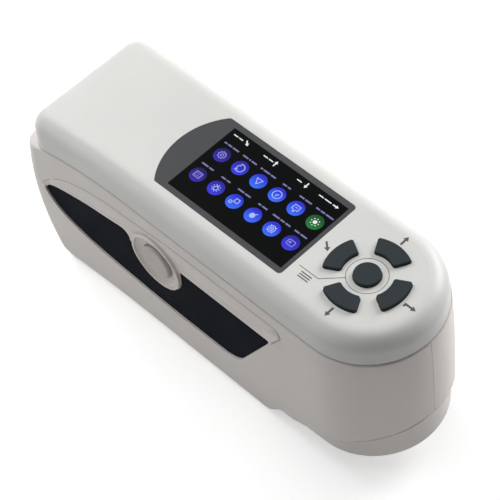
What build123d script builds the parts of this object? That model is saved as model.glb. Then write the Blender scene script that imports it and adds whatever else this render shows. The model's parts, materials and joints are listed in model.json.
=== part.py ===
from build123d import *
import os
from math import copysign, cos, radians, sin, tan

# Portable colorimeter, lying on its belly
# Millimetres. +Z is up, the nose with the measuring port points to -Y, and the
# measuring button is on the -X side. The origin is the centre of the footprint.

# Body, seen from above
waist_half_width = 32.5
nose_y = -70.5
nose_tip_y = nose_y - waist_half_width
rear_y = 102.8
flare_start = 35.4
flare = 2.2
corner_radius = 8.0

# Body, seen from the side
top_z = 95.6
parting_depth = 13.9
parting_z = top_z - parting_depth
parting_dip = 8.0
top_drop = 3.8
belly_z = 1.2
waist_z = 47.6
rim_z = parting_z + 3.0
rim_half_width = 31.7
foot_half_width = 30.6
rim_rear_inset = 5.2
foot_rear_inset = 4.6

# Underside: the nose's sloping floor, the deeper belly and the rear overhang
nose_tip_floor_z = 14.8
nose_floor_slope = 0.078
belly_front_y = -37.0
belly_front_run = 8.3
belly_rear_y = 94.0
belly_rear_lean = 3.0
overhang_z = 18.6
belly_front_round = 5.0
belly_rear_round = 9.0
overhang_round = 2.0
belly_edge_round = 2.0
rim_round = 1.2

# Shell
wall = 3.0
cover_wall = 2.2
parting_gap = 0.25
seam_half_gap = 0.08
deck_reach = 3.5
deck_depth = 11.5
skin_gap = 0.1
skin_cover = 1.0

# Top cover
cover_half_width = 31.3
cover_rear_y = 94.7
cover_corner_radius = 8.8
cover_edge_radius = 7.6
cover_draft = 2.5

# Nose base, below a seam that slopes down towards the belly
seam_tip_z = 35.1
seam_slope = 0.448
seam_end_y = -53.0
seam_gap = 0.15
base_inset = 1.2
base_edge_round = 1.2

# Side grips in the side view, as y and depth under the parting line
grip_front_tip = (-45.9, 19.8)
grip_front_foot = (-22.9, 55.9)
grip_low_point = (8.0, 56.3)
grip_rear_mid = (44.4, 54.7)
grip_rear_low = (70.0, 50.0)
grip_rear_rise = (84.5, 42.1)
grip_rear_tip = (91.0, 31.7)
grip_top_tip = (88.2, 28.4)
grip_top_rear = (80.5, 25.6)
grip_top_mid = (61.5, 22.3)
grip_top_bend = (42.4, 19.8)
grip_middle = (20.0, 35.0)
grip_tip_round = 0.8
grip_foot_round = 14.0
grip_notch_round = 4.0
grip_corner_round = 1.0
grip_notch_front_y = 5.5
grip_notch_rear_y = 36.9
grip_notch_rise = 0.5
grip_thickness = 1.2
grip_clearance = 0.2
grip_set_back = 0.25

# Shallow brow recess round and above a grip, given in the same way
brow_depth = 0.6
brow_drop = 6.5
brow_front_y = -52.6
brow_front_round = 3.5
brow_bend_y = 5.0
brow_rear_high = (33.0, 8.5)
brow_rear_mid = (58.0, 11.1)
brow_rear_low = (78.2, 17.8)
brow_rear_tip = (92.5, 29.9)
brow_under_front = (-20.0, 43.2)
brow_under_rear = (60.0, 43.2)

# Measuring button on the -X side
button_y = 20.7
button_drop = 25.4
button_radius = 8.2
button_face_x = -33.1
button_edge_round = 0.9
button_gap = 0.25
button_travel = 1.5
button_flange = 1.3
button_flange_thickness = 1.2
bezel_radius = 12.6
bezel_set_back = 0.2
bezel_dish = 1.5
bezel_dish_bow = 0.4
bezel_tube_wall = 1.4
collar_width = 1.2
collar_face_x = -32.9
collar_depth = 5.2
collar_ledge = 1.0
notch_clearance = 0.35
button_stem_radius = 2.0
button_stem_length = 1.6
button_switch_size = 7.0
button_post_distance = 18.4
button_post_radius = 2.0
button_board_margin = 2.6
button_board_height = 14.0

# Display
screen_y = -11.25
window_length = 63.6
window_width = 37.7
lens_half_width = 21.4
lens_front_y = -44.9
lens_corner_y = 25.4
lens_arch_height = 8.25
lens_corner_round = 1.6
lens_thickness = 1.2
lens_set_back = 0.1
lens_gap = 0.15
opening_margin = 0.4
lcd_margin = 2.2
lcd_thickness = 2.6
lcd_frame_thickness = 1.6
lcd_leg_radius = 2.2
lcd_leg_inset = 4.0
under_gap = 0.05

# Keypad
key_inner_radius = 10.45
key_outer_radius = 17.65
key_half_angle = 29.0
key_corner_round = 1.0
menu_key_radius = 5.5
key_proud = 1.5
menu_key_proud = 1.6
key_edge_round = 0.4
key_gap = 0.25
key_flange = 0.8
key_flange_thickness = 0.8
key_stem_radius = 1.6
key_stem_length = 2.0
key_travel = 0.8
travel_spare = 0.1
mat_thickness = 0.8
mat_radius = 19.6
switch_size = 6.0
switch_height = 3.2
key_board_radius = 24.5
key_post_distance = 22.2
key_post_radius = 2.2
board_thickness = 1.6

# Inner frame, boards and battery
frame_half_width = 28.0
frame_front_y = -42.0
frame_rear_y = 86.0
frame_drop = 21.4
frame_thickness = 2.0
frame_corner_round = 4.0
frame_window_radius = 7.0
frame_window_length = 40.0
frame_window_y = 18.0
shelf_depth = 3.0
shelf_x = 24.0
shelf_front_y = -30.0
shelf_rear_y = 56.0
board_height = 6.0
board_half_width = 20.0
board_front_y = -40.0
board_rear_y = 76.0
board_post_x = 16.0
board_post_front_y = -33.0
board_post_rear_y = 70.0
post_radius = 3.0
cover_post_x = 24.8
cover_post_front_y = -36.5
cover_post_rear_y = 64.0
pilot_radius = 1.1
screw_gap = 0.05
screw_head_radius = 2.4
screw_head_height = 1.6

battery_width = 34.0
battery_length = 68.0
battery_height = 18.0
battery_y = 18.0
battery_round = 3.0
battery_gap = 0.2
tray_wall = 1.6
door_margin = 3.0
door_thickness = 1.8
door_gap = 0.3
door_round = 3.0
pad_thickness = 1.2
pad_half_width = 10.0
connector_width = 12.0
connector_length = 4.2
connector_height = 7.8
chip_spots = ((-6.0, 34.0), (9.0, 33.0), (-9.0, 52.0))
chip_sizes = ((14.0, 14.0, 1.6), (9.0, 12.0, 1.4), (12.0, 8.0, 2.2))
header_width = 18.0
header_length = 5.0
header_height = 4.4
header_y = 68.0
buzzer_x = 9.0
buzzer_y = 52.0
buzzer_radius = 6.0
buzzer_height = 5.0
ribbon_width = 12.0
ribbon_thickness = 0.3
ribbon_front_y = -55.0
ribbon_drop_y = -44.0
ribbon_rear_y = -35.0
insert_radius = 2.0
insert_length = 4.0
cover_screw_reach = 9.0

# Measuring head on the nose's axis
port_radius = 4.0
port_ring_foot_radius = 10.5
port_ring_radius = 14.0
port_ring_z = 8.5
port_lift = 0.15
port_lip = 1.2
window_thickness = 1.2
window_radius = 5.4
boss_radius = 15.2
boss_rise = 0.5
sphere_radius = 14.5
sphere_wall = 3.0
sphere_z = 30.5
flange_radius = 23.0
flange_thickness = 2.0
head_post_distance = 20.2
head_post_radius = 3.2
head_post_angles = (20.0, 160.0, 270.0)
head_screw_reach = 8.0
neck_radius = 6.6
neck_bore = 4.3
neck_gap = 0.2
sphere_collar_radius = 8.0
sphere_collar_z = 49.5
tube_radius = 4.6
tube_bore = 3.4
tube_length = 16.8
fit_gap = 0.05
lens_z = 53.0
lens_edge = 1.2
lens_bulge = 0.9
led_board_radius = 15.0
led_distance = 11.2
led_radius = 1.5
led_length = 4.2
led_port_radius = 1.3
led_count = 6
sensor_board_size = 24.0
sensor_chip_size = 4.0
sensor_chip_height = 0.9

# Rear socket, feet and case screws
socket_x = 12.0
socket_z = 40.0
socket_width = 7.7
socket_height = 3.9
socket_length = 9.0
socket_wall = 0.5
socket_gap = 0.25
socket_tongue = 1.0
socket_set_back = 0.4
io_board_width = 20.0
io_board_length = 15.0
io_shelf_thickness = 2.0
foot_pad_radius = 5.0
foot_pad_x = 21.5
foot_pad_front_y = -28.0
foot_pad_rear_y = 78.0
foot_recess = 0.8
foot_round = 0.5
foot_gap = 0.1
case_boss_radius = 3.4
case_screw_head_x = 24.0
case_screw_length = 32.0
case_screw_low_spots = ((-34.0, 20.0), (66.0, 24.0))
case_screw_high_spots = ((84.0, 15.5), (-50.0, 9.7))

# Reach of cutting shapes past the body, and of the outlines past its ends
far = 60.0
overrun = 10.0

# Heights and places worked out from the sizes above
brow_z = parting_z - brow_drop
button_z = parting_z - button_drop
under_z = top_z - cover_wall
lens_floor_z = top_z - lens_set_back - lens_thickness
lcd_top_z = under_z - under_gap
lcd_frame_top_z = lcd_top_z - lcd_thickness
lcd_length = window_length + 2 * lcd_margin
lcd_width = window_width + 2 * lcd_margin
frame_z = under_z - frame_drop
frame_top_z = frame_z + frame_thickness
main_board_z = frame_top_z + board_height
main_board_top_z = main_board_z + board_thickness
flange_top_z = under_z - under_gap
stem_foot_z = flange_top_z - key_flange_thickness - key_stem_length
mat_top_z = stem_foot_z - key_travel - travel_spare
switch_top_z = mat_top_z - mat_thickness
key_board_top_z = switch_top_z - switch_height
key_board_z = key_board_top_z - board_thickness
belly_floor_z = belly_z + wall
door_top_z = belly_z + door_thickness
battery_z = door_top_z + pad_thickness + skin_gap
battery_top_z = battery_z + battery_height
tray_top_z = battery_top_z + battery_gap + tray_wall
opening_half_width = battery_width / 2 + battery_gap
opening_half_length = battery_length / 2 + battery_gap
collar_radius = bezel_radius + button_gap + collar_width
collar_out = -collar_face_x
collar_foot = collar_out - collar_depth
bezel_foot = collar_foot + collar_ledge + skin_gap
tube_end = bezel_foot - bezel_tube_wall
button_foot = tube_end - skin_gap - button_flange_thickness
switch_out = button_foot - button_stem_length - button_travel - travel_spare
button_board_out = switch_out - switch_height
window_z = port_lift + port_lip
neck_foot_z = window_z + window_thickness
tube_foot_z = sphere_z + sphere_radius + skin_gap
sensor_board_z = tube_foot_z + tube_length
socket_foot_z = socket_z - socket_height / 2
io_board_z = socket_foot_z - board_thickness

nose_axis = Plane(origin=(0, nose_y, 0), x_dir=(1, 0, 0), z_dir=(0, -1, 0))
button_side = Plane(origin=(0, button_y, button_z), x_dir=(-1, 0, 0), z_dir=(0, 1, 0))
button_axis = Axis((0, button_y, button_z), (-1, 0, 0))
nose_upright = Axis((0, nose_y, 0), (0, 0, 1))

os.makedirs("parts", exist_ok=True)


def save(piece, name):
    """Label a finished piece and write it to its own file."""
    piece.label = name
    export_step(piece, f"parts/{name}.step")


def ramp(y):
    """Share of the rear's flare, dip and drop that is reached at y."""
    run = max(0.0, y - flare_start) / (rear_y - flare_start)
    return run * run


def nose_floor(y):
    """Height of the nose's underside at y."""
    return nose_tip_floor_z - nose_floor_slope * (y - nose_tip_y)


def seam_z(y):
    """Height of the nose base's sloping seam at y."""
    return seam_tip_z - seam_slope * (y - nose_tip_y)


def plan_outline(half_width, rear, corner):
    """Body outline from above: a half round nose and straight sides that flare at the rear."""
    rear_half_width = half_width + flare * ramp(rear)
    nose_tip = (0, nose_y - half_width)
    with BuildSketch() as outline:
        with BuildLine():
            ThreePointArc((-half_width, nose_y), nose_tip, (half_width, nose_y))
            for side in (1, -1):
                Line((side * half_width, nose_y), (side * half_width, flare_start))
                start = (side * half_width, flare_start)
                TangentArc(start, (side * rear_half_width, rear), tangent=(0, 1))
            Line((rear_half_width, rear), (-rear_half_width, rear))
        make_face()
        fillet(outline.vertices().group_by(Axis.Y)[-1], corner)
    return outline.sketch


def barrel_form(inset):
    """The housing's barrel shaped sides, drawn in by an inset."""
    with BuildPart() as form:
        for height, half_width, rear in (
            (0.0, foot_half_width, rear_y - foot_rear_inset),
            (waist_z, waist_half_width, rear_y),
            (rim_z, rim_half_width, rear_y - rim_rear_inset),
        ):
            with BuildSketch(Plane.XY.offset(height)):
                add(plan_outline(half_width - inset, rear - inset, corner_radius - inset))
        loft()
    return form.part


def side_outline(top):
    """The housing's side view, from a parting line at a height down to nose floor and belly."""
    front = nose_tip_y - overrun
    back = rear_y + overrun
    dip = parting_dip * ramp(back)
    step_y = belly_front_y - belly_front_run
    with BuildSketch() as outline:
        with BuildLine():
            Line((front, top), (flare_start, top))
            TangentArc((flare_start, top), (back, top - dip), tangent=(1, 0))
            Line((back, top - dip), (back, overhang_z))
            under = FilletPolyline(
                (back, overhang_z),
                (belly_rear_y + belly_rear_lean, overhang_z),
                (belly_rear_y, belly_z),
                (belly_front_y, belly_z),
                (step_y, nose_floor(step_y)),
                (front, nose_floor(front)),
                radius=(overhang_round, belly_rear_round, belly_front_round, belly_front_round),
            )
            Line(under @ 1, (front, top))
        make_face()
    return outline.sketch


def crown_outline(top, low):
    """The cover's side view: flat over display and keys, falling away towards the rear."""
    front = nose_tip_y - overrun
    back = rear_y + overrun
    drop = top_drop * ramp(back)
    dip = parting_dip * ramp(back)
    with BuildSketch() as outline:
        with BuildLine():
            Line((front, top), (flare_start, top))
            TangentArc((flare_start, top), (back, top - drop), tangent=(1, 0))
            Line((back, top - drop), (back, low - dip))
            TangentArc((flare_start, low), (back, low - dip), tangent=(1, 0))
            Line((flare_start, low), (front, low))
            Line((front, low), (front, top))
        make_face()
    return outline.sketch


def cover_form(inset, low):
    """The top cover as a solid, drawn in by an inset, with its rounded upper edge."""
    foot = parting_z - parting_dip - wall
    spread = (parting_z - foot) * tan(radians(cover_draft)) - inset
    with BuildPart() as form:
        with BuildSketch(Plane.XY.offset(foot)):
            corner = cover_corner_radius + spread
            add(plan_outline(cover_half_width + spread, cover_rear_y + spread, corner))
        extrude(amount=top_z + wall - foot, taper=cover_draft)
        with BuildSketch(Plane.YZ):
            add(crown_outline(top_z - inset, low))
        extrude(amount=far, both=True, mode=Mode.INTERSECT)
        crown = form.faces().filter_by(lambda face: face.normal_at().Z > 0.9)
        edges = ShapeList(edge for face in crown for edge in face.edges())
        rim = edges.filter_by(lambda edge: abs((edge @ 0.5).Y - flare_start) > 1)
        fillet(rim, cover_edge_radius - inset)
    return form.part


def under_rim(point):
    """A side view place from its y and its depth under the parting line."""
    return (point[0], parting_z - point[1])


def grip_outline(notched, shrink):
    """A side grip's leaf shape in the side view, with or without the button's notch."""
    middle_y, middle_z = under_rim(grip_middle)

    def tuck(point):
        y, z = under_rim(point)
        return (y - copysign(shrink, y - middle_y), z - copysign(shrink, z - middle_z))

    front_tip = tuck(grip_front_tip)
    front_foot = tuck(grip_front_foot)
    rear_tip = tuck(grip_rear_tip)
    bend = tuck(grip_top_bend)
    under = (grip_low_point, grip_rear_mid, grip_rear_low, grip_rear_rise)
    over = (grip_top_tip, grip_top_rear, grip_top_mid)
    notch_radius = collar_radius + notch_clearance + shrink
    with BuildSketch() as outline:
        with BuildLine():
            Line(front_tip, front_foot)
            Spline(front_foot, *[tuck(point) for point in under], rear_tip)
            Spline(rear_tip, *[tuck(point) for point in over], bend)
            Line(bend, front_tip)
        make_face()
        fillet(outline.vertices().sort_by_distance(front_foot)[0], grip_foot_round)
        fillet(outline.vertices().group_by(Axis.X)[0][0], grip_tip_round)
        if notched:
            with Locations((button_y, button_z)):
                Circle(notch_radius, mode=Mode.SUBTRACT)
            mouth = (
                (button_y - notch_radius, button_z),
                (button_y + notch_radius, button_z),
                (grip_notch_rear_y + shrink, button_z + grip_notch_rise),
                (grip_notch_rear_y + shrink, brow_z),
                (grip_notch_front_y - shrink, brow_z),
            )
            Polygon(*mouth, align=None, mode=Mode.SUBTRACT)
            rear_corner = (grip_notch_rear_y + shrink, bend[1])
            fillet(outline.vertices().sort_by_distance(rear_corner)[0], grip_notch_round)
            front_corner = (grip_notch_front_y - shrink, bend[1])
            fillet(outline.vertices().sort_by_distance(front_corner)[0], grip_corner_round)
    return outline.sketch


def brow_outline():
    """The shallow recess around and above a side grip, in the side view."""
    tip = under_rim(grip_front_tip)
    front_low = (brow_front_y, brow_z - brow_front_round)
    front_high = (brow_front_y + brow_front_round, brow_z)
    bend = (brow_bend_y, brow_z)
    rear = [under_rim(point) for point in (brow_rear_high, brow_rear_mid, brow_rear_low)]
    rear_tip = under_rim(brow_rear_tip)
    under_rear = under_rim(brow_under_rear)
    under_front = under_rim(brow_under_front)
    with BuildSketch() as outline:
        with BuildLine():
            Line(tip, front_low)
            RadiusArc(front_low, front_high, brow_front_round)
            Line(front_high, bend)
            Spline(bend, *rear, rear_tip, tangents=((1, 0), (0.4, -1)))
            Polyline(rear_tip, under_rear, under_front, tip)
        make_face()
    return outline.sketch


def side_prism(outline, side):
    """A side view outline as a bar through one side wall: side is 1 for +X and -1 for -X."""
    with BuildPart() as prism:
        with BuildSketch(Plane.YZ.offset(side * shelf_x)):
            add(outline)
        extrude(amount=wall * 6, dir=(side, 0, 0))
    return prism.part


def seam_outline(gap):
    """Side view of everything under the nose's sloping seam."""
    front = nose_tip_y - overrun
    end = seam_end_y - gap
    with BuildSketch() as outline:
        points = ((front, seam_z(front) - gap), (front, 0), (end, 0), (end, seam_z(end) - gap))
        Polygon(*points, align=None)
    return outline.sketch


def lens_outline(grow):
    """The display lens seen from above: square at the keys and arched towards the rear."""
    arch_y = lens_corner_y + lens_arch_height
    with BuildSketch() as outline:
        with BuildLine():
            Line((-lens_half_width, lens_front_y), (lens_half_width, lens_front_y))
            Line((lens_half_width, lens_front_y), (lens_half_width, lens_corner_y))
            right = (lens_half_width, lens_corner_y)
            ThreePointArc(right, (0, arch_y), (-lens_half_width, lens_corner_y))
            Line((-lens_half_width, lens_corner_y), (-lens_half_width, lens_front_y))
        make_face()
        fillet(outline.vertices(), lens_corner_round)
        if grow:
            offset(amount=grow)
    return outline.sketch


def key_outline(angle, grow):
    """One arc shaped key seen from above, lying about the menu key at the origin."""
    sweep = 2 * key_half_angle
    with BuildSketch() as outline:
        with BuildLine():
            outer = CenterArc((0, 0), key_outer_radius, angle - key_half_angle, sweep)
            inner = CenterArc((0, 0), key_inner_radius, angle - key_half_angle, sweep)
            Line(outer @ 1, inner @ 1)
            Line(inner @ 0, outer @ 0)
        make_face()
        fillet(outline.vertices(), key_corner_round)
        if grow:
            offset(amount=grow)
    return outline.sketch


def on_nose(distance, angle, height):
    """A point about the nose's upright axis."""
    turn = radians(angle)
    return (distance * cos(turn), nose_y + distance * sin(turn), height)


def bar_across(radius, start_x, end_x, spots):
    """Round bars that run across the body, at spots given in the side view."""
    with BuildPart() as bars:
        with BuildSketch(Plane.YZ.offset(start_x)):
            with Locations(*spots):
                Circle(radius)
        side = 1 if end_x > start_x else -1
        extrude(amount=abs(end_x - start_x), dir=(side, 0, 0))
    return bars.part


# Ways to stand a primitive on its place
upright = (Align.CENTER, Align.CENTER, Align.MIN)
hanging = (Align.CENTER, Align.CENTER, Align.MAX)

# Spots that several pieces share
case_screw_high = tuple(under_rim(spot) for spot in case_screw_high_spots)
case_screw_spots = case_screw_low_spots + case_screw_high
cover_post_ys = (cover_post_front_y, cover_post_rear_y)
cover_post_spots = [(side * cover_post_x, y) for side in (-1, 1) for y in cover_post_ys]
board_post_ys = (board_post_front_y, board_post_rear_y)
board_post_spots = [(side * board_post_x, y) for side in (-1, 1) for y in board_post_ys]
foot_pad_ys = (foot_pad_front_y, foot_pad_rear_y)
foot_pad_spots = [(side * foot_pad_x, y) for side in (-1, 1) for y in foot_pad_ys]
key_distance = (key_inner_radius + key_outer_radius) / 2
key_angles = (0.0, 90.0, 180.0, 270.0)
switch_spots = [on_nose(0, 0, 0)] + [on_nose(key_distance, angle, 0) for angle in key_angles]
key_post_angles = (45.0, 135.0, 270.0)

# Forms of the housing that its pieces are cut from
with BuildPart() as body_form:
    add(barrel_form(0))
    with BuildSketch(Plane.YZ):
        add(side_outline(parting_z))
    extrude(amount=far, both=True, mode=Mode.INTERSECT)
    belly_face = body_form.faces().filter_by(Plane.XY).sort_by(Axis.Z)[0]
    belly_sides = belly_face.edges().filter_by(lambda edge: abs((edge @ 0.5).X) > foot_pad_x)
    fillet(belly_sides, belly_edge_round)
    top_faces = body_form.faces().filter_by(lambda face: face.normal_at().Z > 0.9)
    top_edges = ShapeList(edge for face in top_faces for edge in face.edges())
    rim_edges = top_edges.filter_by(lambda edge: abs((edge @ 0.5).Y - flare_start) > 1)
    fillet(rim_edges, rim_round)

with BuildPart() as cavity_form:
    add(barrel_form(wall))
    with BuildSketch(Plane.YZ):
        add(side_outline(top_z + wall))
        offset(amount=-wall)
    extrude(amount=far, both=True, mode=Mode.INTERSECT)

brow_floor = barrel_form(brow_depth)
grip_floor = barrel_form(brow_depth + grip_set_back + grip_thickness + skin_gap)
grip_outer = barrel_form(brow_depth + grip_set_back)
grip_inner = barrel_form(brow_depth + grip_set_back + grip_thickness)
inner_limit = barrel_form(skin_cover)

# Deck that closes the housing behind the cover's rear end
with BuildPart() as rear_deck:
    add(barrel_form(wall / 2))
    with BuildSketch(Plane.YZ):
        add(side_outline(parting_z))
    extrude(amount=far, both=True, mode=Mode.INTERSECT)
    with Locations((0, cover_rear_y - deck_reach, parting_z)):
        deck_at = (Align.CENTER, Align.MIN, Align.CENTER)
        Box(4 * far, far, 2 * deck_depth, align=deck_at, mode=Mode.INTERSECT)

# Housing: two moulded side halves that meet on the middle plane
with BuildPart() as housing_form:
    add(body_form.part)
    add(cavity_form.part, mode=Mode.SUBTRACT)
    add(rear_deck.part)
    with BuildSketch(Plane.YZ):
        add(seam_outline(0))
    extrude(amount=far, both=True, mode=Mode.SUBTRACT)
    with Locations((0, battery_y, belly_z)):
        Box(2 * opening_half_width, 2 * opening_half_length, far / 2, mode=Mode.SUBTRACT)
        door_width = 2 * (opening_half_width + door_margin + door_gap)
        door_length = 2 * (opening_half_length + door_margin + door_gap)
        Box(door_width, door_length, 2 * (door_thickness + skin_gap), mode=Mode.SUBTRACT)
    with Locations(*[(x, y, belly_z + foot_recess) for x, y in foot_pad_spots]):
        Cylinder(foot_pad_radius + foot_gap, wall, align=hanging, mode=Mode.SUBTRACT)


def housing_half(side):
    """One half of the housing with its shelf, screw bosses and recesses."""
    with BuildPart() as works:
        with Locations((side * shelf_x, shelf_front_y, frame_z)):
            across = Align.MIN if side > 0 else Align.MAX
            shelf_length = shelf_rear_y - shelf_front_y
            Box(far / 4, shelf_length, shelf_depth, align=(across, Align.MIN, Align.MAX))
        add(bar_across(case_boss_radius, 0, side * far, case_screw_spots))
        add(inner_limit, mode=Mode.INTERSECT)
    with BuildPart() as half:
        add(housing_form.part)
        add(works.part)
        with Locations((side * (seam_half_gap - far), 0, 0)):
            Box(2 * far, 5 * far, 5 * far, mode=Mode.SUBTRACT)
        with BuildPart(mode=Mode.SUBTRACT):
            add(side_prism(brow_outline(), side))
            add(brow_floor, mode=Mode.SUBTRACT)
        with BuildPart(mode=Mode.SUBTRACT):
            add(side_prism(grip_outline(side < 0, 0), side))
            add(grip_floor, mode=Mode.SUBTRACT)
    return half.part


with BuildPart() as housing_left:
    add(housing_half(1))
    add(bar_across(pilot_radius + screw_gap, 0, far, case_screw_spots), mode=Mode.SUBTRACT)
    head_hole = bar_across(screw_head_radius + screw_gap, case_screw_head_x, far, case_screw_spots)
    add(head_hole, mode=Mode.SUBTRACT)
    with Locations((socket_x, rear_y, socket_z)):
        socket_hole = (socket_width + 2 * socket_gap, far / 2, socket_height + 2 * socket_gap)
        Box(*socket_hole, mode=Mode.SUBTRACT)
    with BuildPart(mode=Mode.ADD):
        with Locations((socket_x, rear_y - wall + skin_cover, io_board_z)):
            shelf_run = io_board_length + skin_cover
            shelf_at = (Align.CENTER, Align.MAX, Align.MAX)
            Box(io_board_width, shelf_run, io_shelf_thickness, align=shelf_at)

with BuildPart() as housing_right:
    add(housing_half(-1))
    pilot_end = case_screw_head_x - case_screw_length - 1
    add(bar_across(pilot_radius, 0, pilot_end, case_screw_spots), mode=Mode.SUBTRACT)
    with BuildSketch(button_side):
        with Locations(((collar_foot + collar_out) / 2, collar_radius / 2)):
            Rectangle(collar_depth, collar_radius)
    revolve(axis=button_axis)
    button_bore = bezel_radius + button_gap
    button_spot = [(button_y, button_z)]
    bezel_hole = bar_across(button_bore, -collar_foot - collar_ledge, -far, button_spot)
    add(bezel_hole, mode=Mode.SUBTRACT)
    tube_hole = button_radius + button_gap + bezel_tube_wall + skin_gap
    add(bar_across(tube_hole, -collar_foot + 1, -far, button_spot), mode=Mode.SUBTRACT)
    posts = [(button_y + side * button_post_distance, button_z) for side in (-1, 1)]
    add(bar_across(button_post_radius, -button_board_out, -waist_half_width + wall - 1, posts))
save(housing_left.part, "housing_left")
save(housing_right.part, "housing_right")

# Nose base: the wedge under the sloping seam that carries the measuring head
with BuildPart() as nose_base:
    add(barrel_form(base_inset))
    with BuildSketch(Plane.YZ):
        add(side_outline(parting_z))
    extrude(amount=far, both=True, mode=Mode.INTERSECT)
    with BuildSketch(Plane.YZ):
        add(seam_outline(seam_gap))
    extrude(amount=far, both=True, mode=Mode.INTERSECT)
    floor_face = nose_base.faces().filter_by(lambda face: face.normal_at().Z < -0.9)
    floor_edges = ShapeList(edge for face in floor_face for edge in face.edges())
    rim_edges = floor_edges.filter_by(lambda edge: (edge @ 0.5).Y < nose_y)
    fillet(rim_edges, base_edge_round)
    add(cavity_form.part, mode=Mode.SUBTRACT)
    with Locations((0, nose_y, port_ring_z)):
        Cylinder(boss_radius, nose_floor(nose_y) + boss_rise - port_ring_z, align=upright)
    for post_angle in head_post_angles:
        post_foot_z = nose_floor(nose_y) + wall - 1
        with Locations(on_nose(head_post_distance, post_angle, post_foot_z)):
            post_height = sphere_z - flange_thickness / 2 - post_foot_z
            Cylinder(head_post_radius, post_height, align=upright)
    with Locations(*[on_nose(head_post_distance, angle, sphere_z) for angle in head_post_angles]):
        Cylinder(pilot_radius, 2 * head_screw_reach, mode=Mode.SUBTRACT)
    with Locations((0, nose_y, sphere_z)):
        Sphere(sphere_radius + sphere_wall + neck_gap, mode=Mode.SUBTRACT)
    with Locations((0, nose_y, 0)):
        Cylinder(neck_radius + neck_gap, far, mode=Mode.SUBTRACT)
save(nose_base.part, "nose_base")

# Measuring port: a tapered ring that stands on the surface and its glass window
with BuildPart() as port_ring:
    with BuildSketch(nose_axis):
        ring = (
            (port_radius, port_lift),
            (port_ring_foot_radius, port_lift),
            (port_ring_radius, port_ring_z),
            (neck_radius + neck_gap, port_ring_z),
            (neck_radius + neck_gap, neck_foot_z),
            (window_radius + fit_gap, neck_foot_z),
            (window_radius + fit_gap, window_z),
            (port_radius, window_z),
        )
        Polygon(*ring, align=None)
    revolve(axis=nose_upright)
save(port_ring.part, "port_ring")

with BuildPart() as port_window:
    with Locations((0, nose_y, window_z)):
        Cylinder(window_radius, window_thickness, align=upright)
save(port_window.part, "port_window")

# Integrating sphere in two halves that meet on their flanges
with BuildPart() as sphere_lower:
    with Locations((0, nose_y, sphere_z)):
        Sphere(sphere_radius + sphere_wall)
        Cylinder(flange_radius, flange_thickness)
    with Locations((0, nose_y, neck_foot_z)):
        Cylinder(neck_radius, sphere_z - sphere_radius - neck_foot_z, align=upright)
    split(bisect_by=Plane.XY.offset(sphere_z), keep=Keep.BOTTOM)
    with Locations((0, nose_y, sphere_z)):
        Sphere(sphere_radius, mode=Mode.SUBTRACT)
    with Locations((0, nose_y, 0)):
        Cylinder(neck_bore, sphere_z, mode=Mode.SUBTRACT)
    with Locations(*[on_nose(head_post_distance, angle, sphere_z) for angle in head_post_angles]):
        Cylinder(pilot_radius + screw_gap, far / 4, mode=Mode.SUBTRACT)
save(sphere_lower.part, "sphere_lower")

with BuildPart() as sphere_upper:
    with Locations((0, nose_y, sphere_z)):
        Sphere(sphere_radius + sphere_wall)
        Cylinder(flange_radius, flange_thickness)
        Cylinder(sphere_collar_radius, sphere_collar_z - sphere_z, align=upright)
    split(bisect_by=Plane.XY.offset(sphere_z))
    with Locations((0, nose_y, sphere_z)):
        Sphere(sphere_radius, mode=Mode.SUBTRACT)
        Cylinder(tube_radius + fit_gap, far, align=upright, mode=Mode.SUBTRACT)
    with Locations((0, nose_y, sphere_z)):
        with PolarLocations(led_distance, led_count):
            Cylinder(led_port_radius, far, align=upright, mode=Mode.SUBTRACT)
    with Locations(*[on_nose(head_post_distance, angle, sphere_z) for angle in head_post_angles]):
        Cylinder(pilot_radius + screw_gap, far / 4, mode=Mode.SUBTRACT)
save(sphere_upper.part, "sphere_upper")

with BuildPart() as head_screws:
    flange_top_height = sphere_z + flange_thickness / 2
    screw_spots = [on_nose(head_post_distance, angle, 0) for angle in head_post_angles]
    with Locations(*[(x, y, flange_top_height) for x, y, z in screw_spots]):
        Cylinder(screw_head_radius, screw_head_height, align=upright)
        shank = flange_thickness + head_screw_reach - 2
        Cylinder(pilot_radius - screw_gap, shank, align=hanging)
save(head_screws.part, "head_screws")

# Lamps on their ring shaped board, shining down into the sphere
with BuildPart() as led_board:
    with Locations((0, nose_y, sphere_collar_z)):
        Cylinder(led_board_radius, board_thickness, align=upright)
        Cylinder(tube_radius + neck_gap, board_thickness, align=upright, mode=Mode.SUBTRACT)
save(led_board.part, "led_board")

with BuildPart() as led_chips:
    with Locations((0, nose_y, sphere_collar_z)):
        with PolarLocations(led_distance, led_count):
            Cylinder(led_radius, led_length - led_radius, align=hanging)
    with Locations((0, nose_y, sphere_collar_z - led_length + led_radius)):
        with PolarLocations(led_distance, led_count):
            Sphere(led_radius)
save(led_chips.part, "led_chips")

# Detector tube, its lens and the sensor on top
with BuildPart() as detector_tube:
    with Locations((0, nose_y, tube_foot_z)):
        Cylinder(tube_radius, tube_length, align=upright)
        Cylinder(tube_bore, tube_length, align=upright, mode=Mode.SUBTRACT)
save(detector_tube.part, "detector_tube")

with BuildPart() as detector_lens:
    with Locations((0, nose_y, lens_z)):
        Cylinder(tube_bore - fit_gap, lens_edge + lens_bulge, align=upright)
    fillet(detector_lens.edges().group_by(Axis.Z)[-1], lens_bulge)
save(detector_lens.part, "detector_lens")

with BuildPart() as sensor_board:
    with Locations((0, nose_y, sensor_board_z)):
        Box(sensor_board_size, sensor_board_size, board_thickness, align=upright)
    fillet(sensor_board.edges().filter_by(Axis.Z), lens_corner_round)
save(sensor_board.part, "sensor_board")

with BuildPart() as sensor_chip:
    with Locations((0, nose_y, sensor_board_z)):
        Box(sensor_chip_size, sensor_chip_size, sensor_chip_height, align=hanging)
save(sensor_chip.part, "sensor_chip")

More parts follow.
